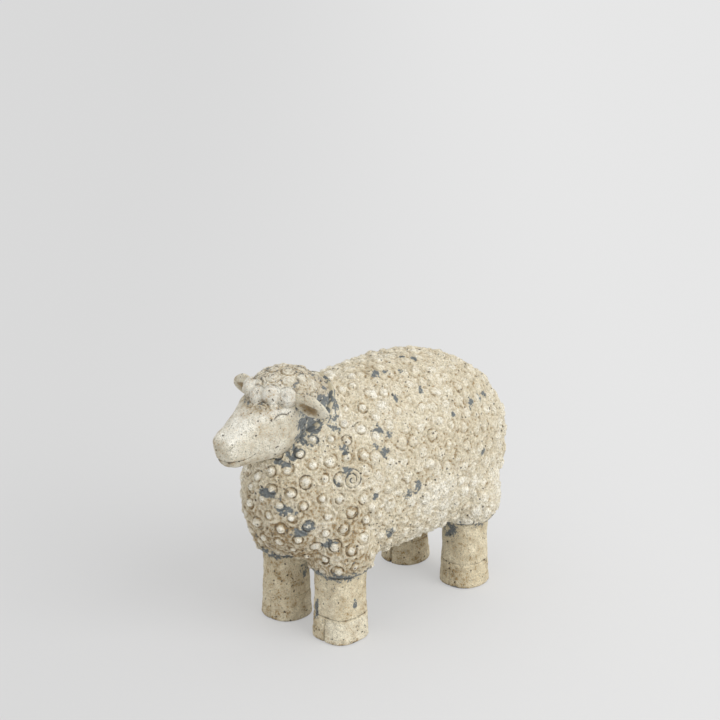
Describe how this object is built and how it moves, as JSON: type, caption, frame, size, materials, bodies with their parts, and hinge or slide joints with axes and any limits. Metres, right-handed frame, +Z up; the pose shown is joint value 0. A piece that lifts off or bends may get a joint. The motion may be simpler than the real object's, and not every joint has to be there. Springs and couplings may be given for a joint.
{
  "type": "garden sheep figurine",
  "caption": "Standing cast sheep garden figure with a curly fleece body, woolly cap, leaf ears and sturdy block legs; a free-standing ornament.",
  "frame": {"origin": "middle of the bounding box in plan, on the floor under the feet", "axes": "+Z up, the sheep faces -Y, +X is the left side of the sheep, +Y runs from nose to rump"},
  "size_m": [0.2282, 0.5347, 0.4047],
  "materials": {
    "fleece_wash": "matte cement-clay casting, worn cream wash with brown stain in the curls",
    "face_wash": "matte cement-clay casting, smooth cream wash with fine dark specks",
    "leg_wash": "matte cement-clay casting, mottled cream and brown wash",
    "grey_mortar": "bare grey mortar, matte",
    "steel_rod": "plain drawn steel, dull"
  },
  "bodies": {
    "root": {"body_shell_left": "fleece_wash", "body_shell_right": "fleece_wash", "seam_band": "grey_mortar", "neck_mortar": "grey_mortar", "neck_rod": "steel_rod", "head": "face_wash", "ear_left": "face_wash", "ear_right": "face_wash", "ear_wire_left": "steel_rod", "ear_wire_right": "steel_rod", "tail": "fleece_wash", "tail_wire": "steel_rod", "leg_front_left": "leg_wash", "leg_mortar_front_left": "grey_mortar", "leg_rod_front_left": "steel_rod", "leg_front_right": "leg_wash", "leg_mortar_front_right": "grey_mortar", "leg_rod_front_right": "steel_rod", "leg_rear_left": "leg_wash", "leg_mortar_rear_left": "grey_mortar", "leg_rod_rear_left": "steel_rod", "leg_rear_right": "leg_wash", "leg_mortar_rear_right": "grey_mortar", "leg_rod_rear_right": "steel_rod"}
  },
  "joints": []
}
